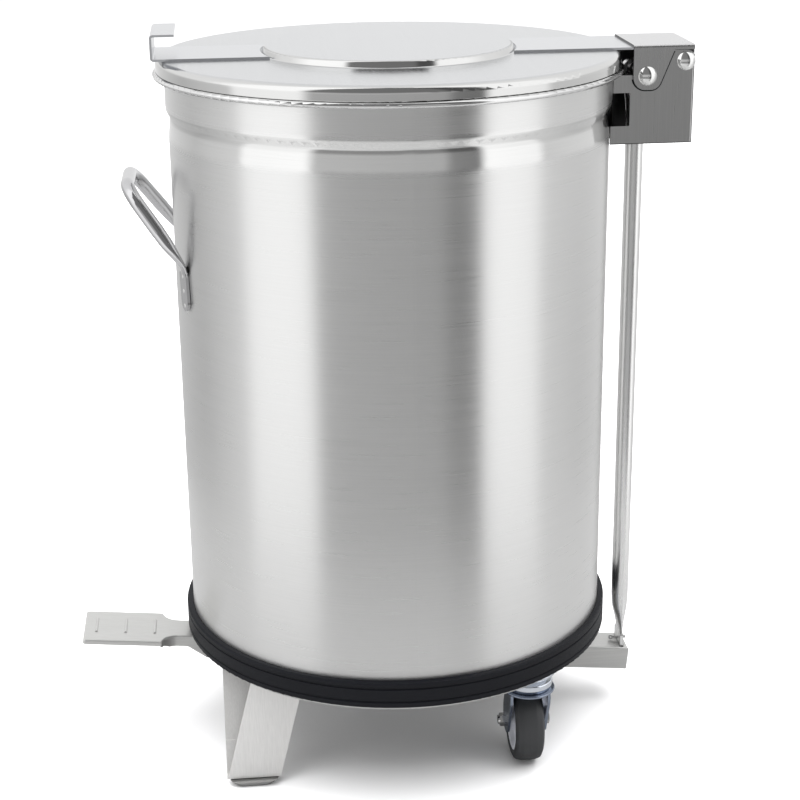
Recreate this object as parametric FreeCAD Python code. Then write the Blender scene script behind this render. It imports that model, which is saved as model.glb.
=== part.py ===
import FreeCAD, Part
import math
import os

# Pedal waste bin: steel drum on two castors and two fixed feet, with a hinged lid.
# Millimetres. Origin on the drum's axis at the floor, +Z up, pedal towards -Y,
# lid hinge towards +Y, left and right mirrored about X = 0.

# drum
BODY_R = 190.0
NECK_R = 191.7
WALL = 1.2
BASE_BOTTOM = 97.8
BASE_TOP = 99.8
RIM_R = 201.3
RIM_TOP = 616.3
RIM_SEAT = 613.7

# carry handle
TAIL_LEAN = 5.0

# bumper ring
RING_R = 195.9
RING_LOW = 102.0
RING_HIGH = 125.7

# lid
LID_Y = 0.0
LID_R = 198.7
LID_TOP = 628.5
LID_HEM = 616.6
LID_T = 1.2
DISC_R = 106.0
DISC_TOP = 634.2
STRAP_TOP = 630.4
STRAP_HALF = 38.5
COVER_TOP = 632.0

# hinge and lift pivots, as (y, z)
HINGE = (251.2, 617.7)
LIFT = (217.5, 606.0)
BOLT_R = 4.0
HEAD_R = 8.0
RUNNING = 0.08

# hinge housing
HOUSE_X = 36.5
HOUSE_T = 2.0
HOUSE_BACK = 259.5
HOUSE_LOW = 547.5

# pedal lever
PIVOT = (0.0, 64.0)
LEVER_TOP = 74.6
LEVER_TILT = -5.4
LEVER_HALF = 17.0
LEVER_DEPTH = 22.0
LEVER_T = 2.0
TREAD_HALF = 31.0
TREAD_END = -221.5
LEVER_FRONT = -294.0
LEVER_REAR = 224.8

# push rod
ROD_Y = 217.5
ROD_R = 8.0
BLADE_HALF = 13.0
BLADE_T = 3.0

# castors
CASTOR_X = 127.0
CASTOR_Y = 106.0
TRAIL = 17.0
WHEEL_R = 37.5

V = FreeCAD.Vector
os.makedirs("parts", exist_ok=True)


def save(name, shape):
    shape.exportStep("parts/" + name + ".step")


def join(shapes):
    first = shapes[0]
    if len(shapes) > 1:
        first = first.multiFuse(shapes[1:])
    return first.removeSplitter()


def block(x0, x1, y0, y1, z0, z1):
    return Part.makeBox(x1 - x0, y1 - y0, z1 - z0, V(x0, y0, z0))


def round_x(y, z, r, x0, x1):
    return Part.makeCylinder(r, x1 - x0, V(x0, y, z), V(1, 0, 0))


def round_y(x, z, r, y0, y1):
    return Part.makeCylinder(r, y1 - y0, V(x, y0, z), V(0, 1, 0))


def round_z(x, y, r, z0, z1):
    return Part.makeCylinder(r, z1 - z0, V(x, y, z0), V(0, 0, 1))


def mirrored(shape):
    return shape.mirror(V(0, 0, 0), V(1, 0, 0))


def placed(shape, base, direction):
    copy = shape.copy()
    turn = FreeCAD.Rotation(V(0, 0, 1), direction)
    copy.Placement = FreeCAD.Placement(base, turn)
    return copy


# corners are (a, b, radius); put maps (a, b) into space
def rounded_face(corners, put):
    ends = []
    for i in range(len(corners)):
        a0, b0, _ = corners[i - 1]
        a, b, r = corners[i]
        a1, b1, _ = corners[(i + 1) % len(corners)]
        if r == 0:
            ends.append(((a, b), None, (a, b)))
            continue
        l0 = math.hypot(a0 - a, b0 - b)
        l1 = math.hypot(a1 - a, b1 - b)
        u = ((a0 - a) / l0, (b0 - b) / l0)
        v = ((a1 - a) / l1, (b1 - b) / l1)
        half = math.acos(max(-1, min(1, u[0] * v[0] + u[1] * v[1]))) / 2
        cut = r / math.tan(half)
        m = (u[0] + v[0], u[1] + v[1])
        k = (r / math.sin(half) - r) / math.hypot(m[0], m[1])
        p = (a + u[0] * cut, b + u[1] * cut)
        q = (a + v[0] * cut, b + v[1] * cut)
        ends.append((p, (a + m[0] * k, b + m[1] * k), q))
    edges = []
    for i in range(len(ends)):
        last = ends[i - 1][2]
        p, mid, q = ends[i]
        if math.hypot(last[0] - p[0], last[1] - p[1]) > 1e-6:
            edges.append(Part.makeLine(put(*last), put(*p)))
        if mid:
            edges.append(Part.Arc(put(*p), put(*mid), put(*q)).toShape())
    return Part.Face(Part.Wire(Part.__sortEdges__(edges)))


def plate_x(corners, x0, x1):
    face = rounded_face(corners, lambda a, b: V(x0, a, b))
    return face.extrude(V(x1 - x0, 0, 0))


def plate_y(corners, y0, y1):
    face = rounded_face(corners, lambda a, b: V(a, y0, b))
    return face.extrude(V(0, y1 - y0, 0))


def plate_z(corners, z0, z1):
    face = rounded_face(corners, lambda a, b: V(a, b, z0))
    return face.extrude(V(0, 0, z1 - z0))


def turned(corners, x=0.0, y=0.0):
    face = rounded_face(corners, lambda a, b: V(a, 0, b))
    solid = face.revolve(V(0, 0, 0), V(0, 0, 1), 360)
    solid.translate(V(x, y, 0))
    return solid


# smooth skin: path is a list of points or lists of points (a curve through them)
def curved_turned(path, y=0.0):
    edges = []
    here = path[0]
    for step in path[1:] + [path[0]]:
        if isinstance(step, list):
            points = [V(here[0], 0, here[1])]
            for q in step:
                points.append(V(q[0], 0, q[1]))
            curve = Part.BSplineCurve()
            curve.interpolate(points)
            edges.append(curve.toShape())
            here = step[-1]
        else:
            edges.append(Part.makeLine(V(here[0], 0, here[1]), V(step[0], 0, step[1])))
            here = step
    face = Part.Face(Part.Wire(edges))
    solid = face.revolve(V(0, 0, 0), V(0, 0, 1), 360)
    solid.translate(V(0, y, 0))
    return solid


def ellipse_wire(centre, a, b, direction, toward):
    # a along the x axis of the section, b across it
    z = V(*direction)
    z.normalize()
    x = V(*toward)
    x = x - z * x.dot(z)
    x.normalize()
    y = z.cross(x)
    points = []
    count = 24
    for i in range(count):
        t = 2 * math.pi * i / count
        points.append(V(*centre) + x * (a * math.cos(t)) + y * (b * math.sin(t)))
    curve = Part.BSplineCurve()
    curve.interpolate(points, PeriodicFlag=True)
    return Part.Wire([curve.toShape()])


def blend(p0, p1, p2, p3, t):
    # Catmull-Rom between p1 and p2
    out = []
    for a, b, c, d in zip(p0, p1, p2, p3):
        out.append(0.5 * (2 * b + (c - a) * t + (2 * a - 5 * b + 4 * c - d) * t * t
                          + (3 * b - a - 3 * c + d) * t ** 3))
    return out


# bar that changes section: keys are (centre, a, b, direction, toward)
def morphed(keys, steps=4):
    rows = []
    for centre, a, b, direction, toward in keys:
        rows.append(list(centre) + [a, b] + list(direction) + list(toward))
    rows = [rows[0]] + rows + [rows[-1]]
    wires = []
    for i in range(1, len(rows) - 2):
        for j in range(steps):
            wires.append(blend(rows[i - 1], rows[i], rows[i + 1], rows[i + 2], j / steps))
    wires.append(rows[-1])
    wires = [ellipse_wire(w[0:3], w[3], w[4], w[5:8], w[8:11]) for w in wires]
    parts = []
    for i in range(len(wires) - 1):
        parts.append(Part.makeLoft(wires[i:i + 2], True, True))
    return join(parts)


def button(r, h):
    # domed bolt head, flat side at z = 0
    ball = (r * r + (h - 1.0) ** 2) / (2 * (h - 1.0))
    cap = Part.makeSphere(ball, V(0, 0, h - ball))
    return cap.common(Part.makeCylinder(r, h, V(0, 0, 0), V(0, 0, 1)))


def hexagon(r, h):
    corners = []
    for i in range(6):
        t = math.radians(60 * i)
        corners.append((r * math.cos(t), r * math.sin(t), 0))
    nut = plate_z(corners, 0, h)
    trim = turned([(0, 0, 0), (r * 0.93, 0, 0), (r, r * 0.07, 0), (r, h - r * 0.07, 0),
                   (r * 0.93, h, 0), (0, h, 0)])
    return nut.common(trim)


def cap_nut(r, h):
    low = hexagon(r, h * 0.5)
    dome = placed(button(r * 0.8, h * 0.5), V(0, 0, h * 0.5), V(0, 0, 1))
    return join([low, dome])


# ---------------------------------------------------------------- drum body
def drum():
    t = WALL
    skin = curved_turned([
        (BODY_R - t, BASE_TOP), (BODY_R, BASE_TOP), (BODY_R, 556.0),
        [(189.75, 563.0), (189.0, 570.0), (188.6, 575.5), (189.1, 579.6), (190.7, 582.6),
         (NECK_R, 586.0)],
        (NECK_R, RIM_SEAT), (NECK_R - t, RIM_SEAT), (NECK_R - t, 586.3),
        [(189.5, 583.3), (187.9, 580.2), (187.4, 575.5), (187.8, 569.9), (188.55, 562.9),
         (BODY_R - t, 556.0)],
    ])
    for x, z in RIVETS:
        skin = skin.cut(round_y(x, z, 2.5, 180, 200))
    return skin


def rim_bead():
    # edge rolled outwards, seated over the top of the skin
    low = RIM_TOP - 4.9
    return turned([(188.2, RIM_SEAT, 0.8), (NECK_R + 0.2, RIM_SEAT, 0), (NECK_R + 0.2, low + 0.5, 0),
                   (196.6, low + 0.2, 0.6), (RIM_R, low, 2.3), (RIM_R, RIM_TOP, 2.3),
                   (188.2, RIM_TOP, 1.0)])


RIVETS = [(-21.0, 555.0), (21.0, 555.0), (-21.0, 597.5), (21.0, 597.5)]
BASE_RIVETS = [(13.0, 14.0), (13.0, -14.0), (-13.0, 14.0), (-13.0, -14.0)]
for side in (-1, 1):
    for spot in ((112.5, -127.0), (112.5, -105.0), (77.0, -153.0), (77.0, -130.0)):
        BASE_RIVETS.append((side * spot[0], spot[1]))


def base():
    disc = turned([(0, BASE_BOTTOM, 0), (BODY_R, BASE_BOTTOM, 0.6), (BODY_R, BASE_TOP, 0),
                   (BODY_R - WALL - 0.2, BASE_TOP, 0), (BODY_R - WALL - 0.2, 114.0, 0),
                   (BODY_R - WALL - 1.4, 114.0, 0), (BODY_R - WALL - 1.4, BASE_TOP, 1.5),
                   (0, BASE_TOP, 0)])
    for side in (-1, 1):
        disc = disc.cut(round_z(side * CASTOR_X, CASTOR_Y, 4.6, 90, 110))
    for x, y in BASE_RIVETS:
        disc = disc.cut(round_z(x, y, 2.5, 90, 110))
    return disc


def ring():
    return turned([(BODY_R + 0.1, RING_LOW, 0.4), (RING_R, RING_LOW, 1.6), (RING_R, 106.6, 0.3),
                   (RING_R - 1.1, 107.3, 0.3), (RING_R - 1.1, 108.1, 0.3), (RING_R, 108.8, 0.3),
                   (RING_R, 118.9, 0.3), (RING_R - 1.1, 119.5, 0.3), (RING_R - 1.1, 120.3, 0.3),
                   (RING_R, 120.9, 0.3), (RING_R, RING_HIGH, 1.4), (BODY_R + 0.1, RING_HIGH, 0.6)])


def around(angle, radius, z):
    turn = math.radians(angle)
    return (radius * math.sin(turn), -radius * math.cos(turn), z)


def handle():
    # arms lean out from the drum and draw together towards the grip
    foot = V(62.0, -184.9, 464.5)
    corner = V(40.1, -226.4, 523.7)
    lean = corner.sub(foot)
    reach = lean.Length
    lean.normalize()
    along = (lean.x, lean.y, lean.z)
    wide = (0.949, 0.316, 0)
    end = morphed([
        (around(18.1, 191.35, 451.0), 8.3, 1.25, (0, 0, 1), wide),
        (around(18.35, 192.3, 458.5), 8.1, 1.9, (0, -0.25, 0.97), wide),
        (tuple(foot + lean * 4.0), 7.6, 3.5, along, wide),
        (tuple(foot + lean * 18.0), 6.6, 5.5, along, (1, 0.1, 0)),
        (tuple(foot + lean * 31.0), 5.9, 5.85, along, (1, 0, 0)),
    ])
    tail = plate_y([(-8.5, 421.0, 8.4), (8.5, 421.0, 8.4), (8.5, 455.0, 3.0),
                    (-8.5, 455.0, 3.0)], -2.6, 0)
    tail.rotate(V(0, 0, 442), V(0, 1, 0), -TAIL_LEAN)
    tail.rotate(V(0, 0, 0), V(0, 0, 1), 18.3)
    tail.translate(V(*around(18.3, BODY_R + 0.08, 0)))
    # grip bar with a round bend on each arm
    bend = 26.0
    inward = V(-1, 0, 0)
    half_turn = math.acos(-lean.x) / 2
    back = bend * math.tan(half_turn)
    a = foot + lean * 29.5
    b = corner - lean * back
    c = corner + inward * back
    middle = inward - lean
    middle.normalize()
    mid = corner + middle * (bend / math.cos(half_turn) - bend)
    path = Part.Wire([Part.makeLine(a, b), Part.Arc(b, mid, c).toShape(),
                      Part.makeLine(c, V(0, c.y, c.z))])
    loop = Part.Wire([Part.makeCircle(6.0, a, lean)])
    half = join([path.makePipeShell([loop], True, False), end, tail])
    return join([half, mirrored(half)])


# ---------------------------------------------------------------- hinge housing
def housing():
    x = HOUSE_X
    t = HOUSE_T
    outer = plate_z([(-x, 180.0, 0), (x, 180.0, 0), (x, HOUSE_BACK, 3.2), (-x, HOUSE_BACK, 3.2)],
                    HOUSE_LOW, 630.0)
    inner = plate_z([(-x + t, 170.0, 0), (x - t, 170.0, 0), (x - t, HOUSE_BACK - t, 1.2),
                     (-x + t, HOUSE_BACK - t, 1.2)], HOUSE_LOW - 1, 631.0)
    channel = outer.cut(inner)
    hy, hz = HINGE
    ly, lz = LIFT
    side = plate_x([(187.2, HOUSE_LOW, 0), (HOUSE_BACK + 1, HOUSE_LOW, 0),
                    (HOUSE_BACK + 1, hz + 9.3, 0), (223.2, hz + 9.3, 0), (223.2, 606.6, 0),
                    (188.8, 606.6, 0), (188.8, 591.6, 0), (203.6, 591.6, 0.8),
                    (203.6, 563.2, 0.8), (187.2, 563.2, 0)], -40, 40)
    channel = channel.common(side)
    # round ears on the hinge line
    ear_cut = block(-40, 40, hy, 262, hz, 632)
    ear_cut = ear_cut.cut(round_x(hy, hz, 9.3, -41, 41))
    channel = channel.cut(ear_cut)
    # room for the lid's lifting bolt on its way up
    outside = block(-40, 40, 205, hy - 20, lz, 632)
    outside = outside.cut(round_x(hy, hz, 29.3, -41, 41))
    channel = channel.cut(outside)
    channel = channel.cut(round_x(ly, lz, 6.5, -41, 41))
    # rear wall stops lower than the cheeks
    channel = channel.cut(block(-x + t, x - t, 250, 262, 600.0, 632))
    channel = channel.cut(round_x(hy, hz, BOLT_R + 0.1, -41, 41))
    return channel


def mount_plate():
    half = HOUSE_X - HOUSE_T
    sheet = turned([(192.0, 549.0, 0), (194.0, 549.0, 0), (194.0, 604.5, 0), (192.0, 604.5, 0)])
    sheet = sheet.common(block(-half, half, 150, 200, 540, 610))
    for x, z in RIVETS:
        sheet = sheet.cut(round_y(x, z, 2.5, 180, 200))
    return sheet


def rivets():
    solids = []
    for x, z in RIVETS:
        inner = math.sqrt((NECK_R - WALL if z > 586 else 188.7) ** 2 - (abs(x) + 4.5) ** 2)
        outer = math.sqrt(194.0 ** 2 - (abs(x) - 4.5) ** 2)
        head = placed(button(4.5, 2.6), V(x, outer + 0.05, z), V(0, 1, 0))
        tail = placed(button(4.5, 2.6), V(x, inner - 0.05, z), V(0, -1, 0))
        shank = round_y(x, z, 2.4, inner - 0.06, outer + 0.06)
        solids.append(join([shank, head, tail]))
    return Part.makeCompound(solids)


def base_rivets():
    solids = []
    for x, y in BASE_RIVETS:
        head = placed(button(4.5, 2.4), V(x, y, 95.3), V(0, 0, -1))
        tail = placed(button(4.5, 2.4), V(x, y, BASE_TOP), V(0, 0, 1))
        shank = round_z(x, y, 2.4, 95.0, 100.0)
        solids.append(join([shank, head, tail]))
    return Part.makeCompound(solids)


def long_bolt(at, head_x):
    y, z = at
    shank = round_x(y, z, BOLT_R, -head_x, head_x + 0.5)
    head = placed(button(HEAD_R, 4.6), V(head_x, y, z), V(1, 0, 0))
    thread = round_x(y, z, BOLT_R - 0.4, -head_x - 4.0, -head_x + 0.5)
    return join([shank, head, thread])


def dome_nut(at, face_x):
    y, z = at
    nut = placed(cap_nut(7.4, 9.4), V(-face_x, y, z), V(-1, 0, 0))
    return nut.cut(round_x(y, z, BOLT_R - 0.35, -face_x - 4.4, -face_x + 1))


# ---------------------------------------------------------------- lid
def lid_pan():
    t = LID_T
    pan = turned([
        (0, DISC_TOP, 0), (DISC_R, DISC_TOP, 2.2), (DISC_R + 2.2, LID_TOP, 1.0),
        (LID_R, LID_TOP, 6.0), (LID_R, LID_HEM, 0.5),
        (LID_R - t, LID_HEM, 0.5), (LID_R - t, LID_TOP - t, 4.8),
        (DISC_R + 2.2 - t, LID_TOP - t, 0.4), (DISC_R - t, DISC_TOP - t, 1.2),
        (0, DISC_TOP - t, 0)])
    pan.translate(V(0, LID_Y, 0))
    return pan


def lid_hole():
    return round_z(0, LID_Y, DISC_R + 3.4, 600, 700)


def front_strap():
    t = STRAP_TOP - LID_TOP
    front = -201.0
    section = plate_x([(-90.0, LID_TOP, 0), (-90.0, STRAP_TOP, 0),
                       (front + t, STRAP_TOP, 1.2), (front + t, 650.4 - t, 1.2),
                       (-180.5, 650.4 - t, 0), (-180.5, 650.4, 0.8),
                       (front, 650.4, 3.0), (front, LID_TOP, 3.0)], -STRAP_HALF, STRAP_HALF)
    plan = plate_z([(-STRAP_HALF, -202, 1.5), (STRAP_HALF, -202, 1.5),
                    (STRAP_HALF, -80, 0), (-STRAP_HALF, -80, 0)], 620, 660)
    return section.common(plan).cut(lid_hole())


def rear_strap():
    narrow = HOUSE_X + 0.1
    strap = plate_z([(-STRAP_HALF, 90, 0), (STRAP_HALF, 90, 0), (STRAP_HALF, 204.9, 0),
                     (narrow, 204.9, 0), (narrow, 257.0, 2), (-narrow, 257.0, 2),
                     (-narrow, 204.9, 0), (-STRAP_HALF, 204.9, 0)], LID_TOP, STRAP_TOP)
    return strap.cut(lid_hole())


def hinge_cover():
    t = COVER_TOP - STRAP_TOP
    x = 38.6
    low = 590.0
    outer = plate_y([(-x, low, 0), (x, low, 0), (x, COVER_TOP, 2.6), (-x, COVER_TOP, 2.6)],
                    205.5, 258.0)
    inner = plate_y([(-x + t, low - 1, 0), (x - t, low - 1, 0), (x - t, COVER_TOP - t, 0.3),
                     (-x + t, COVER_TOP - t, 0.3)], 200, 262)
    channel = outer.cut(inner)
    ly, lz = LIFT
    side = plate_x([(205.5, 640, 0), (205.5, lz - 12.0, 11.0), (227.0, lz - 12.0, 9.0),
                    (240.6, 627.6, 1.0), (258.0, 627.6, 0), (258.0, 640, 0)], -40, 40)
    channel = channel.common(side)
    return channel.cut(round_x(ly, lz, BOLT_R + 0.1, -41, 41))


def hinge_arm():
    hy, hz = HINGE
    ly, lz = LIFT
    t = 2.0
    outer = plate_y([(-32.5, 590, 0), (32.5, 590, 0), (32.5, LID_TOP, 2.5),
                     (-32.5, LID_TOP, 2.5)], 209.8, 260)
    inner = plate_y([(-32.5 + t, 589, 0), (32.5 - t, 589, 0), (32.5 - t, LID_TOP - t, 0.5),
                     (-32.5 + t, LID_TOP - t, 0.5)], 205, 262)
    channel = outer.cut(inner)
    side = plate_x([(209.8, 640, 0), (209.8, lz - 9.0, 7.5), (ly + 9.0, lz - 9.0, 7.0),
                    (hy - 6, hz - 9.0, 3), (hy + 8.0, hz - 9.0, 6.0), (hy + 8.0, 626.0, 2.0),
                    (257.0, 640, 0)], -40, 40)
    channel = channel.common(side)
    channel = channel.cut(round_x(hy, hz, BOLT_R + RUNNING, -41, 41))
    return channel.cut(round_x(ly, lz, BOLT_R + 0.1, -41, 41))


def spacer(at, r, x0, x1, bore):
    y, z = at
    return round_x(y, z, r, x0, x1).cut(round_x(y, z, bore, x0 - 1, x1 + 1))


def lid_buffers():
    pads = []
    for angle in (40, 140, 220, 320):
        t = math.radians(angle)
        x = 189.0 * math.cos(t)
        y = 189.0 * math.sin(t)
        pads.append(turned([(0, 616.7, 0), (3.0, 616.7, 0.8), (3.4, LID_TOP - LID_T, 0),
                            (0, LID_TOP - LID_T, 0)], x, y))
    return Part.makeCompound(pads)


# ---------------------------------------------------------------- pedal lever
def tilt(shape):
    copy = shape.copy()
    copy.rotate(V(0, 0, 0), V(1, 0, 0), LEVER_TILT)
    copy.translate(V(0, 0, LEVER_TOP))
    return copy


# lever's own frame: y along the lever, z = 0 on the top of its web
def into_lever(y, z):
    a = math.radians(-LEVER_TILT)
    dz = z - LEVER_TOP
    return (y * math.cos(a) - dz * math.sin(a), y * math.sin(a) + dz * math.cos(a))


def lever_outline(inset):
    # plan of the lever; the shoulders are concave and keep their offset inside
    w = TREAD_HALF - inset
    h = LEVER_HALF - inset
    slope = math.hypot(14.0, 4.0)
    nx, ny = 4.0 / slope, 14.0 / slope
    shoulder = TREAD_END - inset * ny
    lean = (inset * nx - inset) * 4.0 / 14.0
    a = shoulder - lean
    b = a + (w - h) * 4.0 / 14.0
    front = LEVER_FRONT + inset
    rear = LEVER_REAR - inset
    return [(-w, front, 3.0 - inset), (w, front, 3.0 - inset), (w, a, 1.2), (h, b, 15.0 + inset),
            (h, rear, 0), (-h, rear, 0), (-h, b, 15.0 + inset), (-w, a, 1.2)]


def pedal_lever():
    t = LEVER_T
    d = LEVER_DEPTH
    outer = plate_z(lever_outline(0), -d, 0)
    rims = []
    for edge in outer.Edges:
        box = edge.BoundBox
        if box.ZMin > -0.01:
            rims.append(edge)
    outer = outer.makeFillet(1.8, rims)
    inner = plate_z(lever_outline(t), -d - 1, -t)
    lever = outer.cut(inner)
    # shallow lip under the tread that deepens along the neck
    below = plate_x([(-300, -4.6, 0), (TREAD_END - 2.0, -4.6, 4.0), (TREAD_END + 7.0, -10.8, 4.0),
                     (TREAD_END + 24.0, -10.8, 6.0), (TREAD_END + 46.0, -d - 2, 0),
                     (-300, -d - 2, 0)], -40, 40)
    lever = lever.cut(below)
    for y in (-282.5, -255.5, -228.6):
        lever = lever.fuse(round_x(y, -0.3, 1.3, -13.5, 13.5))
    sy, sz = into_lever(ROD_Y, 53.0)
    lever = lever.cut(block(-14.4, 14.4, sy - 1.95, sy + 1.95, -t - 1, 1))
    py, pz = into_lever(*PIVOT)
    lever = lever.cut(round_x(py, pz, BOLT_R + RUNNING, -20, 20))
    return tilt(lever)


def pivot_bush():
    return spacer(PIVOT, 6.5, -14.6, 14.6, BOLT_R + RUNNING)


def pivot_bracket():
    top = plate_z([(-20.1, -21, 2), (20.1, -21, 2), (20.1, 21, 2), (-20.1, 21, 2)],
                  95.3, BASE_BOTTOM)
    pieces = [top]
    y, z = PIVOT
    for x0, x1 in ((-20.1, -17.6), (17.6, 20.1)):
        pieces.append(plate_x([(-19, 96.5, 0), (19, 96.5, 0), (y + 9.5, z - 10, 9.0),
                               (y - 9.5, z - 10, 9.0)], x0, x1))
    bracket = join(pieces).cut(round_x(y, z, BOLT_R + 0.1, -30, 30))
    for x, y in BASE_RIVETS[:4]:
        bracket = bracket.cut(round_z(x, y, 2.5, 90, 100))
    return bracket


def pivot_pin():
    y, z = PIVOT
    shank = round_x(y, z, BOLT_R, -20.4, 20.4)
    right = placed(button(6.5, 3.4), V(20.15, y, z), V(1, 0, 0))
    left = placed(button(6.5, 3.4), V(-20.15, y, z), V(-1, 0, 0))
    return join([shank, right, left])


# ---------------------------------------------------------------- push rod
def push_rod():
    y = ROD_Y - 0.5
    up = (0, 0, 1)
    across = (1, 0, 0)
    ly, lz = LIFT
    shaft = round_z(0, y, ROD_R, 104.0, 566.0)
    low = morphed([
        ((0, ROD_Y, 62.0), 12.6, 1.45, up, across),
        ((0, ROD_Y, 68.0), 12.6, 1.8, up, across),
        ((0, ROD_Y - 0.1, 80.0), 11.4, 4.3, up, across),
        ((0, ROD_Y - 0.4, 94.0), 9.0, 7.2, up, across),
        ((0, y, 107.0), ROD_R - 0.1, ROD_R - 0.12, up, across),
    ])
    blade = plate_y([(-BLADE_HALF, 41.0, 3), (BLADE_HALF, 41.0, 3), (BLADE_HALF, 67.0, 3),
                     (-BLADE_HALF, 67.0, 3)], ROD_Y - BLADE_T / 2, ROD_Y + BLADE_T / 2)
    high = morphed([
        ((0, y, 563.0), ROD_R - 0.1, ROD_R - 0.12, up, across),
        ((0, ly - 0.2, 578.0), 6.2, 9.2, up, across),
        ((0, ly, 592.0), 4.4, 11.4, up, across),
        ((0, ly, 597.0), 4.1, 11.6, up, across),
    ])
    head = plate_x([(ly - 13.2, 590.0, 4), (ly + 13.2, 590.0, 4), (ly + 13.2, lz + 9.4, 8),
                    (ly - 13.2, lz + 9.4, 8)], -4.0, 4.0)
    rod = join([shaft, low, high, blade, head])
    eye = plate_x([(ly - 9.3, lz - 4.5, 3.6), (ly + 9.3, lz - 4.5, 3.6),
                   (ly + 9.3, lz + 6.4, 3.6), (ly - 9.3, lz + 6.4, 3.6)], -20, 20)
    rod = rod.cut(eye)
    for z in PIN_Z:
        rod = rod.cut(round_y(0, z, 1.7, ROD_Y - 20, ROD_Y + 20))
    return rod


PIN_Z = (48.9, 57.8)


def split_pins():
    solids = []
    for z, tail in zip(PIN_Z, (2.6, 6.5)):
        shank = round_y(0, z, 1.6, ROD_Y - 6.5, ROD_Y + tail)
        loop = Part.makeTorus(1.5, 0.8, V(0, ROD_Y - 8.0, z), V(1, 0, 0))
        solids.append(join([shank, loop]))
    return Part.makeCompound(solids)


# ---------------------------------------------------------------- feet
def rect_at(x0, x1, y0, y1, z):
    return Part.makePolygon([V(x0, y0, z), V(x1, y0, z), V(x1, y1, z), V(x0, y1, z),
                             V(x0, y0, z)])


def foot():
    near = Part.makeLoft([rect_at(129.0, 131.5, -164.5, -117.5, 6.5),
                          rect_at(120.5, 123.0, -140.5, -93.5, BASE_BOTTOM)], True, True)
    far = Part.makeLoft([rect_at(122.0, 124.5, -165.3, -118.3, 6.5),
                         rect_at(86.5, 89.0, -165.3, -118.3, BASE_BOTTOM)], True, True)
    k = (36.0 - 6.5) / (BASE_BOTTOM - 6.5)
    lap = Part.makeLoft([rect_at(123.5, 126.0, -165.3, -118.3, 6.5),
                         rect_at(124.0 - 35.5 * k, 126.0 - 35.5 * k, -165.3, -118.3, 36.0)],
                        True, True)
    toe = plate_y([(122.0, 8.6, 0), (122.0, 5.0, 3.2), (131.5, 5.0, 3.2), (131.5, 8.6, 0)],
                  -165.3, -117.5)
    near_top = block(103.0, 122.8, -140.5, -93.5, 95.3, BASE_BOTTOM)
    far_top = block(66.5, 88.8, -165.3, -118.3, 95.3, BASE_BOTTOM)
    leg = join([near, far, lap, toe, near_top, far_top])
    for x, y in BASE_RIVETS[8:]:
        leg = leg.cut(round_z(x, y, 2.5, 90, 100))
    return leg


def glide():
    low = rounded_face([(-6.5, -15.5, 6.0), (6.5, -15.5, 6.0), (6.5, 15.5, 6.0),
                        (-6.5, 15.5, 6.0)], lambda a, b: V(128.0 + a, b - 141.0, 0))
    high = rounded_face([(-9.5, -21.5, 8.0), (9.5, -21.5, 8.0), (9.5, 21.5, 8.0),
                         (-9.5, 21.5, 8.0)], lambda a, b: V(128.0 + a, b - 141.0, 4.95))
    return Part.makeLoft([low.OuterWire, high.OuterWire], True, True)


# ---------------------------------------------------------------- castors
def castor_mount():
    x = CASTOR_X
    y = CASTOR_Y
    plate = turned([(0, 95.3, 0), (24.0, 95.3, 0.6), (24.0, BASE_BOTTOM, 0.6),
                    (0, BASE_BOTTOM, 0)], x, y)
    cup = turned([(0, 80.5, 0), (19.5, 80.5, 0.8), (21.5, 84.0, 1.5), (21.5, 88.5, 1.5),
                  (18.0, 91.5, 1.5), (17.0, 95.4, 0), (0, 95.4, 0)], x, y)
    pin = round_z(x, y, 4.5, 75.2, 112.0)
    head = turned([(0, 75.0, 0), (6.6, 75.0, 0.6), (6.6, 77.35, 0), (0, 77.35, 0)], x, y)
    return join([plate, cup, pin, head])


def castor_nuts():
    nuts = []
    for s in (-1, 1):
        nut = placed(hexagon(8.6, 7.5), V(s * CASTOR_X, CASTOR_Y, BASE_TOP), V(0, 0, 1))
        nuts.append(nut.cut(round_z(s * CASTOR_X, CASTOR_Y, 4.55, 90, 120)))
    return Part.makeCompound(nuts)


def castor_fork():
    x = CASTOR_X
    y = CASTOR_Y
    ax = x - TRAIL
    crown = turned([(0, 77.7, 0), (23.6, 77.7, 1.0), (23.6, 80.2, 1.0), (0, 80.2, 0)], x, y)
    pieces = [crown]
    for y0, y1 in ((y - 18.0, y - 15.5), (y + 15.5, y + 18.0)):
        pieces.append(plate_y([(x - 14.0, 79.5, 2), (x + 14.0, 79.5, 2), (x + 13.0, 68.0, 6),
                               (ax + 10.5, 28.0, 9.0), (ax - 9.5, 28.0, 9.0),
                               (ax - 9.0, 50.0, 6)], y0, y1))
    fork = join(pieces)
    fork = fork.cut(round_z(x, y, 4.5 + RUNNING, 70, 90))
    return fork.cut(round_y(ax, WHEEL_R, BOLT_R + 0.1, y - 30, y + 30))


def castor_axle():
    ax = CASTOR_X - TRAIL
    y = CASTOR_Y
    shank = round_y(ax, WHEEL_R, BOLT_R, y - 24.5, y + 18.3)
    head = placed(hexagon(6.2, 4.2), V(ax, y + 18.05, WHEEL_R), V(0, 1, 0))
    bolt = join([shank, head])
    nut = placed(hexagon(6.2, 4.8), V(ax, y - 18.05, WHEEL_R), V(0, -1, 0))
    nut = nut.cut(round_y(ax, WHEEL_R, BOLT_R + 0.05, y - 40, y))
    return Part.makeCompound([bolt, nut])


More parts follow.
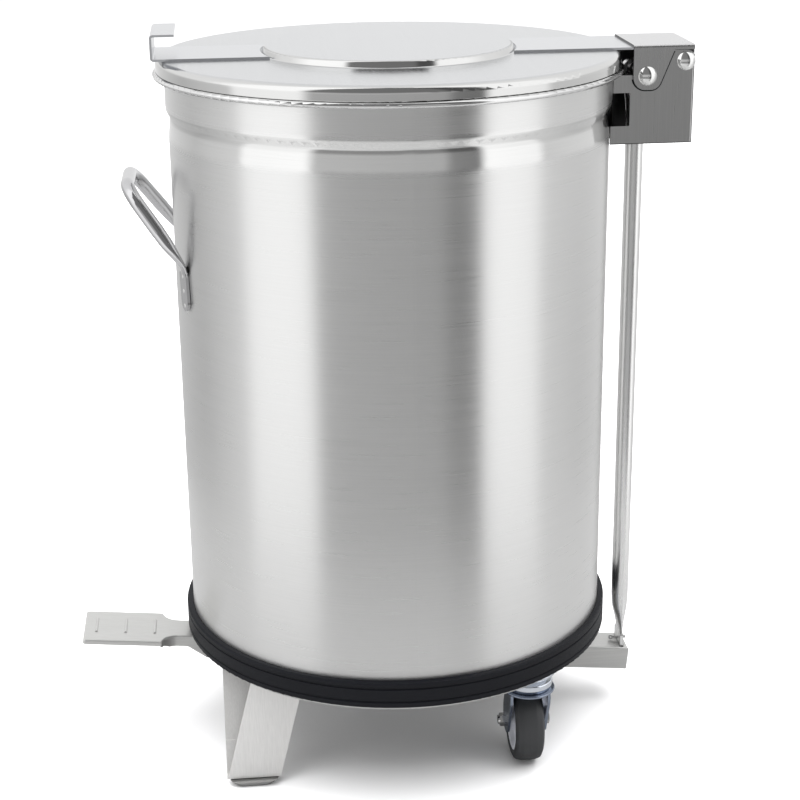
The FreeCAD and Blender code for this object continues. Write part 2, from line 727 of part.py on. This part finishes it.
def wheel_hub():
    ax = CASTOR_X - TRAIL
    hub = turned([(BOLT_R + RUNNING, -14.6, 0), (9.5, -14.6, 0.8), (10.5, -9.0, 1), (21.5, -7.5, 2),
                  (24.0, -12.2, 0.8), (28.0, -12.2, 0.6), (28.0, 12.2, 0.6), (24.0, 12.2, 0.8),
                  (21.5, 7.5, 2), (10.5, 9.0, 1), (9.5, 14.6, 0.8), (BOLT_R + RUNNING, 14.6, 0)])
    return placed(hub, V(ax, CASTOR_Y, WHEEL_R), V(0, 1, 0))


def tyre():
    ax = CASTOR_X - TRAIL
    band = turned([(28.05, -12.6, 0.6), (31.5, -13.2, 1.5), (36.0, -11.2, 3.0),
                   (WHEEL_R, -6.0, 6.0), (WHEEL_R, 6.0, 6.0), (36.0, 11.2, 3.0),
                   (31.5, 13.2, 1.5), (28.05, 12.6, 0.6)])
    return placed(band, V(ax, CASTOR_Y, WHEEL_R), V(0, 1, 0))


# ---------------------------------------------------------------- output
save("body_shell", drum())
save("rim_bead", rim_bead())
save("base_plate", base())
save("bumper_ring", ring())
save("carry_handle", handle())
save("hinge_housing", housing())
save("housing_mount_plate", mount_plate())
save("mount_rivets", rivets())
save("base_rivets", base_rivets())
save("hinge_bolt", long_bolt(HINGE, HOUSE_X + 0.05))
save("hinge_nut", dome_nut(HINGE, HOUSE_X + 0.05))
save("pivot_bracket", pivot_bracket())
save("pivot_pin", pivot_pin())
save("lid_pan", lid_pan())
save("front_strap", front_strap())
save("rear_strap", rear_strap())
save("hinge_cover", hinge_cover())
save("hinge_arm", hinge_arm())
save("hinge_sleeve", spacer(HINGE, 6.0, -30.3, 30.3, BOLT_R + RUNNING))
save("lift_bolt", long_bolt(LIFT, 38.65))
save("lift_nut", dome_nut(LIFT, 38.65))
save("lift_spacers", Part.makeCompound([
    spacer(LIFT, 5.6, 4.6, 30.3, BOLT_R + 0.1), spacer(LIFT, 5.6, -30.3, -4.6, BOLT_R + 0.1)]))
save("lid_buffers", lid_buffers())
save("pedal_lever", pedal_lever())
save("pivot_bush", pivot_bush())
save("push_rod", push_rod())
save("rod_split_pins", split_pins())
save("castor_nuts", castor_nuts())
RIGHT = {"foot": foot(), "glide": glide(), "castor_mount": castor_mount(),
         "castor_fork": castor_fork(), "castor_axle": castor_axle(),
         "wheel_hub": wheel_hub(), "tyre": tyre()}
for name in RIGHT:
    save(name + "_right", RIGHT[name])
    save(name + "_left", mirrored(RIGHT[name]))
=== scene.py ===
import math

import bpy
from mathutils import Matrix, Quaternion, Vector


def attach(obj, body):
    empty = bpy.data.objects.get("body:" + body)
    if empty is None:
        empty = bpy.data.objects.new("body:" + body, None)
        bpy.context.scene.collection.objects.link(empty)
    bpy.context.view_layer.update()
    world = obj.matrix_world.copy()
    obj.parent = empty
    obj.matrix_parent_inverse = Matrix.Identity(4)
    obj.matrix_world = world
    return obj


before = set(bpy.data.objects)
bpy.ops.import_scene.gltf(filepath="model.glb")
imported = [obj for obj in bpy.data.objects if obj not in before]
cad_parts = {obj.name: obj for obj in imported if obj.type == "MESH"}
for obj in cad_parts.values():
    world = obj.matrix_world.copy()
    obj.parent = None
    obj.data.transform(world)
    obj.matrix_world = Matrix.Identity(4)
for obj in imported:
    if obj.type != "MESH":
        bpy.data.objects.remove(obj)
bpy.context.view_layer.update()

# Metres, in the frame of the CAD model: +X is the right side, -Y the pedal side, +Z up.
# The small pieces at the end are drawn in millimetres.
MM = 0.001

# camera: stands off the right side, a little towards the pedal, looking down at the drum
CAMERA_AT = Vector((1.52064, -0.14642, 0.83860))
CAMERA_TURN = math.radians(5.746)
CAMERA_DOWN = math.radians(19.045)
CAMERA_ROLL = -0.0118
CAMERA_LENS = 79.57

# stage
FLOOR_HALF = 14.0
FLOOR_LEVEL = -0.0006
CARD_RADIUS = 0.72
CARD_SIDES = 64
CARD_LEVEL = -0.0003
LAMP_HEIGHT = 3.4
LAMP_SIZE = 6.0
LAMP_POWER = 450

# brightness of the room by bearing in degrees from the camera's side, positive to the hinge
LOW = ((-180, 0.78), (-118, 0.60), (-103, 0.70), (-76, 1.05), (-43, 1.10), (-36, 0.90),
       (0, 0.80), (27, 0.72), (32, 0.55), (45, 0.48), (50, 1.15), (66, 1.10), (86, 0.85),
       (118, 0.66), (150, 0.78), (180, 0.78))
MIDDLE = ((-180, 0.70), (-118, 0.50), (-103, 0.62), (-83, 0.76), (-78, 1.18), (-43, 1.25),
          (-37, 0.32), (26, 0.26), (31, 0.12), (45, 0.10), (50, 1.28), (80, 1.15), (85, 0.76),
          (118, 0.62), (150, 0.72), (180, 0.70))
EYE = ((-180, 1.0), (-118, 0.66), (-103, 0.75), (-83, 0.85), (-78, 1.30), (-43, 1.35),
       (-37, 0.66), (0, 0.60), (27, 0.56), (32, 0.32), (45, 0.26), (50, 1.35), (80, 1.25),
       (86, 0.80), (150, 0.95), (180, 1.0))
UPPER = ((-180, 1.0), (-103, 1.10), (-80, 1.50), (-44, 1.50), (-38, 0.24), (26, 0.22),
         (30, 0.10), (44, 0.10), (49, 1.40), (80, 1.40), (103, 1.10), (180, 1.0))
# where each belt hands over to the next, as the sine of the elevation
HAND_OVER = ((-0.52, -0.42), (-0.22, -0.14), (0.05, 0.25))
# the ramps hold up to 1, so the brightness is halved in them and doubled again at the end
WORLD_STRENGTH = 2.0

# heights and depths that the finish of a part depends on, and the bounds of the painted shade on
# the housing's hem and inner faces
GROOVE_LOW = 0.560
GROOVE_HIGH = 0.5865
GROOVE_SOFT = 0.002
HOUSING_HEM = 0.5484
HOUSING_INNER_X = 0.0360
HOUSING_INNER_Y = 0.2585


def make_camera():
    data = bpy.data.cameras.new("camera")
    data.lens = CAMERA_LENS
    data.sensor_width = 36.0
    data.clip_end = 60.0
    camera = bpy.data.objects.new("camera", data)
    bpy.context.scene.collection.objects.link(camera)
    level = math.cos(CAMERA_DOWN)
    look = Vector((-math.cos(CAMERA_TURN) * level, math.sin(CAMERA_TURN) * level,
                   -math.sin(CAMERA_DOWN)))
    turn = look.to_track_quat("-Z", "Y") @ Quaternion((0, 0, 1), CAMERA_ROLL)
    camera.matrix_world = Matrix.Translation(CAMERA_AT) @ turn.to_matrix().to_4x4()
    bpy.context.scene.camera = camera


# ------------------------------------------------------------------ nodes
def feed(links, value, socket):
    """Links a socket, or sets a number or colour."""
    if isinstance(value, bpy.types.NodeSocket):
        links.new(value, socket)
    else:
        socket.default_value = value


def stops(cell, values):
    cells = cell.color_ramp.elements
    while len(cells) < len(values):
        cells.new(0.5)
    for element, (place, value) in zip(cells, values):
        element.position = place
        element.color = (*value, 1) if isinstance(value, tuple) else (value, value, value, 1)


def ramp(nodes, links, source, values):
    cell = nodes.new("ShaderNodeValToRGB")
    stops(cell, values)
    links.new(source, cell.inputs[0])
    return cell.outputs[0]


def sum_of(nodes, links, operation, *values):
    node = nodes.new("ShaderNodeMath")
    node.operation = operation
    for value, socket in zip(values, node.inputs):
        feed(links, value, socket)
    return node.outputs[0]


def mixed(nodes, links, factor, first, second):
    node = nodes.new("ShaderNodeMix")
    node.data_type = "RGBA"
    links.new(factor, node.inputs["Factor"])
    feed(links, first, node.inputs[6])
    feed(links, second, node.inputs[7])
    return node.outputs[2]


def split(nodes, links, vector):
    node = nodes.new("ShaderNodeSeparateXYZ")
    links.new(vector, node.inputs[0])
    return node.outputs


def coordinate(nodes, kind):
    return nodes.new("ShaderNodeTexCoord").outputs[kind]


# ------------------------------------------------------------------ light and floor
def make_lamp():
    """One large soft light overhead."""
    data = bpy.data.lights.new("box_overhead", "AREA")
    data.shape = "SQUARE"
    data.size = LAMP_SIZE
    data.energy = LAMP_POWER
    light = bpy.data.objects.new("box_overhead", data)
    bpy.context.scene.collection.objects.link(light)
    light.visible_glossy = False
    light.location = (0, 0, LAMP_HEIGHT)


def make_world():
    """A room of four belts, each with its own pale and dark panels round it."""
    world = bpy.data.worlds.new("studio")
    bpy.context.scene.world = world
    world.use_nodes = True
    nodes = world.node_tree.nodes
    links = world.node_tree.links
    nodes.clear()
    out = nodes.new("ShaderNodeOutputWorld")
    back = nodes.new("ShaderNodeBackground")
    links.new(back.outputs[0], out.inputs[0])

    direction = coordinate(nodes, "Generated")
    turned = nodes.new("ShaderNodeVectorRotate")
    turned.rotation_type = "Z_AXIS"
    turned.inputs["Angle"].default_value = -math.atan2(CAMERA_AT.y, CAMERA_AT.x)
    links.new(direction, turned.inputs["Vector"])
    flat = split(nodes, links, turned.outputs[0])
    bearing = sum_of(nodes, links, "ARCTAN2", flat["Y"], flat["X"])
    along = sum_of(nodes, links, "MULTIPLY_ADD", bearing, 1 / (2 * math.pi), 0.5)
    height = sum_of(nodes, links, "MULTIPLY_ADD", split(nodes, links, direction)["Z"], 0.5, 0.5)

    belts = [ramp(nodes, links, along,
                  [(0.5 + degrees / 360, value / WORLD_STRENGTH) for degrees, value in belt])
             for belt in (LOW, MIDDLE, EYE, UPPER)]
    colour = belts[0]
    for belt, (start, stop) in zip(belts[1:], HAND_OVER):
        step = ramp(nodes, links, height, [(start / 2 + 0.5, 0.0), (stop / 2 + 0.5, 1.0)])
        colour = mixed(nodes, links, step, colour, belt)
    links.new(colour, back.inputs[0])
    back.inputs[1].default_value = WORLD_STRENGTH


def paper_sheet(name, outline, level, material_name, tone, rough):
    """A flat sheet of matt paper, which is stage and not part of the bin."""
    mesh = bpy.data.meshes.new(name)
    mesh.from_pydata([(x, y, level) for x, y in outline], [], [tuple(range(len(outline)))])
    sheet = bpy.data.objects.new(name, mesh)
    bpy.context.scene.collection.objects.link(sheet)
    material, shader, nodes, links = blank(material_name)
    shader.inputs["Base Color"].default_value = (*tone, 1)
    shader.inputs["Roughness"].default_value = rough
    shader.inputs["Specular IOR Level"].default_value = 0.1
    mesh.materials.append(material)
    return sheet


def make_floor():
    """Pale floor, and a grey card on it round the bin that only the steel's reflections see."""
    half = FLOOR_HALF
    floor = paper_sheet("floor", [(-half, -half), (half, -half), (half, half), (-half, half)],
                        FLOOR_LEVEL, "floor_paper", (0.86, 0.86, 0.865), 0.8)
    floor.visible_glossy = False
    steps = [2 * math.pi * k / CARD_SIDES for k in range(CARD_SIDES)]
    card = paper_sheet("floor_card",
                       [(CARD_RADIUS * math.cos(a), CARD_RADIUS * math.sin(a)) for a in steps],
                       CARD_LEVEL, "card_paper", (0.30, 0.30, 0.30), 0.9)
    card.visible_camera = False
    card.visible_diffuse = False
    card.visible_shadow = False


# ------------------------------------------------------------------ materials
def inside(material):
    return material.node_tree.nodes["Principled BSDF"], material.node_tree.nodes, \
        material.node_tree.links


def blank(name):
    material = bpy.data.materials.new(name)
    material.use_nodes = True
    return (material, *inside(material))


def noise(nodes, links, scale, detail=4.0, stretch=(1, 1, 1)):
    fit = nodes.new("ShaderNodeMapping")
    fit.inputs["Scale"].default_value = stretch
    links.new(coordinate(nodes, "Object"), fit.inputs["Vector"])
    cloud = nodes.new("ShaderNodeTexNoise")
    cloud.inputs["Scale"].default_value = scale
    cloud.inputs["Detail"].default_value = detail
    links.new(fit.outputs["Vector"], cloud.inputs["Vector"])
    return cloud.outputs["Fac"]


def bump(nodes, links, shader, height, strength, distance):
    node = nodes.new("ShaderNodeBump")
    node.inputs["Strength"].default_value = strength
    node.inputs["Distance"].default_value = distance
    links.new(height, node.inputs["Height"])
    links.new(node.outputs["Normal"], shader.inputs["Normal"])


def shades(tone, spread):
    """The darker and the lighter end of a tone."""
    return tuple(c * (1 - spread) for c in tone), tuple(min(1, c * (1 + spread)) for c in tone)


def brushed(name, tone, rough, grain, bump_strength=0.25, spread=0.06, anisotropy=0.0, metal=1.0):
    """Brushed steel; grain stretches the scratches, so the small number runs along them."""
    material, shader, nodes, links = blank(name)
    shader.inputs["Metallic"].default_value = metal
    fine = noise(nodes, links, 1.0, 5.0, grain)
    low, high = shades(tone, spread)
    links.new(ramp(nodes, links, fine, [(0.3, low), (0.7, high)]), shader.inputs["Base Color"])
    links.new(ramp(nodes, links, fine, [(0.25, rough * 0.88), (0.75, rough * 1.14)]),
              shader.inputs["Roughness"])
    bump(nodes, links, shader, fine, bump_strength, 0.00006)
    if anisotropy:
        # a quarter turn spreads the highlight up and down the wall, across the grain
        shader.inputs["Anisotropic"].default_value = anisotropy
        shader.inputs["Anisotropic Rotation"].default_value = 0.25
        line = nodes.new("ShaderNodeTangent")
        line.direction_type = "RADIAL"
        line.axis = "Z"
        links.new(line.outputs[0], shader.inputs["Tangent"])
    return material


def lid_metal(name, tone, rough, edge_tone, edge_rough):
    """Satin on the flat of the lid, polished where the sheet turns down."""
    material, shader, nodes, links = blank(name)
    shader.inputs["Metallic"].default_value = 1.0
    fine = noise(nodes, links, 1.0, 5.0, (10, 900, 900))
    up = split(nodes, links, coordinate(nodes, "Normal"))["Z"]
    flat = ramp(nodes, links, up, [(0.80, 0.0), (0.998, 1.0)])
    low = tuple(c * 0.985 for c in tone)
    high = tuple(c * 1.01 for c in tone)
    satin = ramp(nodes, links, fine, [(0.3, low), (0.7, high)])
    links.new(mixed(nodes, links, flat, (*edge_tone, 1), satin), shader.inputs["Base Color"])
    dull = ramp(nodes, links, fine, [(0.3, rough * 0.88), (0.7, rough * 1.14)])
    edge = (edge_rough, edge_rough, edge_rough, 1)
    links.new(mixed(nodes, links, flat, edge, dull), shader.inputs["Roughness"])
    bump(nodes, links, shader, fine, 0.05, 0.00005)
    return material


def sheet_with_painted_light(name, tone, rough, lit_top_tone, rim, shaded_hem_height=None):
    """Brushed sheet with painted light: its top face painted pale as a painted highlight, and
    painted shade in the rim tone on its front cut edges and its bottom hem.
    """
    material = brushed(name, tone, rough, (900, 900, 16), 0.2, 0.05)
    shader, nodes, links = inside(material)
    normal = split(nodes, links, coordinate(nodes, "Normal"))
    front = sum_of(nodes, links, "MULTIPLY", normal["Y"], -1.0)
    # painted highlight on faces that look up, painted shade on faces that look towards the pedal
    painted_tones = [(normal["Z"], ((0.5, 0.0), (0.9, 1.0)), lit_top_tone),
              (front, ((0.6, 0.0), (0.9, 1.0)), rim)]
    if shaded_hem_height:
        # painted shade on the hem, below the given height
        height = split(nodes, links, coordinate(nodes, "Object"))["Z"]
        below = sum_of(nodes, links, "MULTIPLY_ADD", height, -100.0, shaded_hem_height * 100.0)
        painted_tones.append((below, ((0.0, 0.0), (0.05, 1.0)), rim))
    colour = shader.inputs["Base Color"].links[0].from_socket
    for source, places, tint in painted_tones:
        colour = mixed(nodes, links, ramp(nodes, links, source, places), colour,
                       (tint, tint, tint * 1.01, 1))
    links.new(colour, shader.inputs["Base Color"])
    return material


def polish_groove(material, rough):
    """Leaves the rolled groove round the drum smoother than the brushed wall."""
    shader, nodes, links = inside(material)
    height = split(nodes, links, coordinate(nodes, "Object"))["Z"]
    belt = ramp(nodes, links, height,
                [(GROOVE_LOW - GROOVE_SOFT, 0.0), (GROOVE_LOW + GROOVE_SOFT, 1.0),
                 (GROOVE_HIGH - GROOVE_SOFT, 1.0), (GROOVE_HIGH + GROOVE_SOFT, 0.0)])
    before = shader.inputs["Roughness"].links[0].from_socket
    links.new(mixed(nodes, links, belt, before, (rough, rough, rough, 1)),
              shader.inputs["Roughness"])


def paint_shade_inside(material, tone):
    """Paints shade on the inner faces of the folded housing: a near-black tone stands for the
    shade inside it.
    """
    shader, nodes, links = inside(material)
    place = split(nodes, links, coordinate(nodes, "Object"))
    aside = sum_of(nodes, links, "ABSOLUTE", place["X"])
    inner = sum_of(nodes, links, "LESS_THAN", aside, HOUSING_INNER_X)
    front = sum_of(nodes, links, "LESS_THAN", place["Y"], HOUSING_INNER_Y)
    both = sum_of(nodes, links, "MULTIPLY", inner, front)
    before = shader.inputs["Base Color"].links[0].from_socket
    links.new(mixed(nodes, links, both, before, (tone, tone, tone, 1)),
              shader.inputs["Base Color"])


def polished(name, tone, rough):
    material, shader, nodes, links = blank(name)
    shader.inputs["Metallic"].default_value = 1.0
    smear = noise(nodes, links, 55.0, 3.0)
    low = tuple(c * 0.96 for c in tone)
    links.new(ramp(nodes, links, smear, [(0.3, low), (0.7, tone)]), shader.inputs["Base Color"])
    links.new(ramp(nodes, links, smear, [(0.3, rough * 0.8), (0.75, rough * 1.3)]),
              shader.inputs["Roughness"])
    bump(nodes, links, shader, smear, 0.05, 0.0001)
    return material


def moulded(name, tone, rough, grain, strength, spread=0.12, gloss=0.5):
    material, shader, nodes, links = blank(name)
    shader.inputs["Specular IOR Level"].default_value = gloss
    fine = noise(nodes, links, grain, 4.0)
    broad = noise(nodes, links, 18.0, 2.0)
    low, high = shades(tone, spread)
    links.new(ramp(nodes, links, broad, [(0.3, low), (0.7, high)]), shader.inputs["Base Color"])
    links.new(ramp(nodes, links, fine, [(0.3, rough * 0.85), (0.7, min(1, rough * 1.15))]),
              shader.inputs["Roughness"])
    bump(nodes, links, shader, fine, strength, 0.0002)
    return material


def dress(node, material):
    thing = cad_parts[node]
    thing.data.materials.clear()
    thing.data.materials.append(material)


def make_materials():
    """Gives every CAD node its finish, with painted light and shade on the cover, the housing and
    the dark parts in and under them, and returns the two that the small pieces share.
    """
    upright = (900, 900, 16)
    drum = brushed("drum_brushed", (0.72, 0.72, 0.715), 0.30, (14, 14, 1500), 0.12, 0.02, 0.78)
    polish_groove(drum, 0.13)
    rim = polished("rim_polished", (0.74, 0.74, 0.74), 0.10)
    lid = lid_metal("lid_satin", (0.59, 0.60, 0.615), 0.20, (0.64, 0.64, 0.635), 0.10)
    # painted light: the cover's top painted pale as a painted highlight, with painted shade on its
    # pedal-side edges
    cover = sheet_with_painted_light("cover_painted_light", (0.46, 0.46, 0.458), 0.28, 0.68, 0.03)
    # painted light: the housing's upward faces painted pale, with painted shade on its pedal-side
    # edges, its hem and its inner faces
    cheek = sheet_with_painted_light("housing_painted_shade", (0.46, 0.46, 0.458), 0.30, 0.5, 0.03, HOUSING_HEM)
    paint_shade_inside(cheek, 0.02)
    # painted shade: the mount plate inside the housing is made near black to stand for the shade
    # there
    dark = brushed("mount_painted_shade", (0.012, 0.012, 0.012), 0.5, upright, 0.2, 0.05)
    # painted shade: a very dark steel for the hinge arm, sleeve and spacers, standing for the
    # shade in the gap under the cover
    arm = brushed("arm_painted_shade", (0.10, 0.10, 0.10), 0.35, upright, 0.2, 0.05)
    strap = brushed("strap_satin", (0.65, 0.66, 0.68), 0.22, (700, 12, 700), 0.12, 0.02)
    lever = brushed("lever_satin", (0.50, 0.50, 0.49), 0.34, (800, 14, 800), 0.25, 0.05,
                    metal=0.75)
    foot = brushed("foot_satin", (0.68, 0.675, 0.665), 0.40, (900, 900, 14), 0.25, 0.05,
                   metal=0.6)
    rod = brushed("rod_satin", (0.86, 0.86, 0.855), 0.28, (900, 900, 10), 0.2, 0.05)
    base = brushed("base_satin", (0.55, 0.55, 0.545), 0.35, (14, 900, 900), 0.2, 0.05)
    shine = polished("fastener_polished", (0.78, 0.78, 0.775), 0.09)
    grip = polished("handle_polished", (0.58, 0.58, 0.59), 0.07)
    zinc = polished("zinc_plate", (0.72, 0.76, 0.82), 0.16)
    fork = polished("fork_plate", (0.30, 0.34, 0.42), 0.22)
    rubber = moulded("black_rubber", (0.0045, 0.005, 0.007), 0.5, 900.0, 0.25, gloss=0.16)
    tyre = moulded("grey_tyre", (0.026, 0.027, 0.029), 0.55, 1400.0, 0.3)
    pale = moulded("pale_plastic", (0.55, 0.56, 0.60), 0.45, 700.0, 0.12, 0.04)
    looks = {
        "body_shell": drum, "rim_bead": rim, "base_plate": base, "bumper_ring": rubber,
        "carry_handle": grip, "hinge_housing": cheek, "housing_mount_plate": dark,
        "mount_rivets": shine, "base_rivets": shine, "hinge_bolt": shine, "hinge_nut": shine,
        "pivot_bracket": base, "pivot_pin": shine, "lid_pan": lid, "front_strap": strap,
        "rear_strap": strap, "hinge_cover": cover, "hinge_arm": arm, "hinge_sleeve": arm,
        "lift_bolt": shine, "lift_nut": shine, "lift_spacers": arm, "lid_buffers": rubber,
        "pedal_lever": lever, "pivot_bush": pale, "push_rod": rod, "rod_split_pins": shine,
        "castor_nuts": shine,
    }
    for side in ("left", "right"):
        looks["foot_" + side] = foot
        looks["glide_" + side] = shine
        looks["castor_mount_" + side] = zinc
        looks["castor_fork_" + side] = fork
        looks["castor_axle_" + side] = shine
        looks["wheel_hub_" + side] = pale
        looks["tyre_" + side] = tyre
    for node, material in looks.items():
        dress(node, material)
    return rubber, shine


# ------------------------------------------------------------------ small pieces
# Millimetres from here on. The cover's cheek, seen from the side: a round low corner at the
# front, one at the back, then a straight edge that leans back; each as (y, z) and a radius.
CHEEK_FRONT = ((216.5, 605.0), 11.0)
CHEEK_BACK = ((220.93, 603.0), 9.0)
CHEEK_EDGE = (229.27, 599.63)
CHEEK_RISE = (10.9, 27.0)
CHEEK_FACING = (0.927, -0.375)
# the black strip of painted shade round the cheeks
GAP_SHADE_X = (36.72, 36.96)
GAP_SHADE_UNDER = -2.0
GAP_SHADE_SHOWS = 1.3

TAIL_BEARING = math.radians(18.3)
TAIL_LEAN = math.radians(5.0)
TAIL_MIDDLE = 442.0
DRUM_RADIUS = 190.08
WELD_HEIGHTS = (451.0, 438.5, 426.0)
WELD_SIDES = 12
WELD_FOOT = (1.9, 2.55)
WELD_CROWN = (1.5, 2.85)
WELD_TOP = 2.9


def piece(name, points, faces, material, body, side):
    """Both sides are drawn for the right; side -1 mirrors the points, and so turns the faces."""
    if side < 0:
        faces = [tuple(reversed(f)) for f in faces]
    mesh = bpy.data.meshes.new(name)
    mesh.from_pydata([(side * x * MM, y * MM, z * MM) for x, y, z in points], [], faces)
    mesh.validate()
    mesh.materials.append(material)
    thing = bpy.data.objects.new(name, mesh)
    bpy.context.scene.collection.objects.link(thing)
    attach(thing, body)


def round_corner(corner, start, step, count):
    """Points and outward directions round a corner, by angles in degrees."""
    (y, z), radius = corner
    turns = [math.radians(start + k * step) for k in range(count)]
    return [(y + radius * math.cos(a), z + radius * math.sin(a), math.cos(a), math.sin(a))
            for a in turns]


def cover_gap_shade_strips(material):
    """Painted shade: a thin black strip that shows round the cover's cheeks, between them and the
    housing, standing for the shadow in the gap.
    """
    line = round_corner(CHEEK_FRONT, 190, 10, 9) + round_corner(CHEEK_BACK, -90, 8.5, 9)
    line += [(CHEEK_EDGE[0] + CHEEK_RISE[0] * k / 6, CHEEK_EDGE[1] + CHEEK_RISE[1] * k / 6,
              *CHEEK_FACING) for k in range(7)]
    near, far = GAP_SHADE_X
    section = ((near, GAP_SHADE_UNDER), (far, GAP_SHADE_UNDER), (far, GAP_SHADE_SHOWS), (near, GAP_SHADE_SHOWS))
    points = [(x, y + ny * out, z + nz * out) for y, z, ny, nz in line for x, out in section]
    faces = [(3, 2, 1, 0)]
    for k in range(len(line) - 1):
        for j in range(4):
            a, b = 4 * k + j, 4 * k + (j + 1) % 4
            faces.append((a, b, b + 4, a + 4))
    end = 4 * (len(line) - 1)
    faces.append((end, end + 1, end + 2, end + 3))
    for name, side in (("cover_gap_shade_right", 1), ("cover_gap_shade_left", -1)):
        piece(name, points, faces, material, "lid", side)


def on_tail(across, out, z):
    """A point on the handle's tail, from its place across the tail and its height off the drum."""
    r = DRUM_RADIUS + out
    return (across * math.cos(TAIL_BEARING) + r * math.sin(TAIL_BEARING),
            across * math.sin(TAIL_BEARING) - r * math.cos(TAIL_BEARING), z)


def weld_marks(material):
    """Spot-weld marks down the flat tail of each handle arm."""
    points = []
    faces = []
    for z in WELD_HEIGHTS:
        middle = -(z - TAIL_MIDDLE) * math.tan(TAIL_LEAN)
        first = len(points)
        for radius, out in (WELD_FOOT, WELD_CROWN):
            for k in range(WELD_SIDES):
                a = 2 * math.pi * k / WELD_SIDES
                points.append(on_tail(middle + radius * math.cos(a), out,
                                      z + radius * math.sin(a)))
        points.append(on_tail(middle, WELD_TOP, z))
        for k in range(WELD_SIDES):
            a, b = first + k, first + (k + 1) % WELD_SIDES
            faces.append((a, b, b + WELD_SIDES, a + WELD_SIDES))
            faces.append((a + WELD_SIDES, b + WELD_SIDES, first + 2 * WELD_SIDES))
    for name, side in (("weld_marks_right", 1), ("weld_marks_left", -1)):
        piece(name, points, faces, material, "bin", side)


make_camera()
make_lamp()
make_world()
make_floor()
black_rubber, bright_steel = make_materials()
# painted shade: the black strip round the cover's cheeks, in the black rubber finish
cover_gap_shade_strips(black_rubber)
weld_marks(bright_steel)
bpy.context.scene.view_settings.view_transform = "Standard"
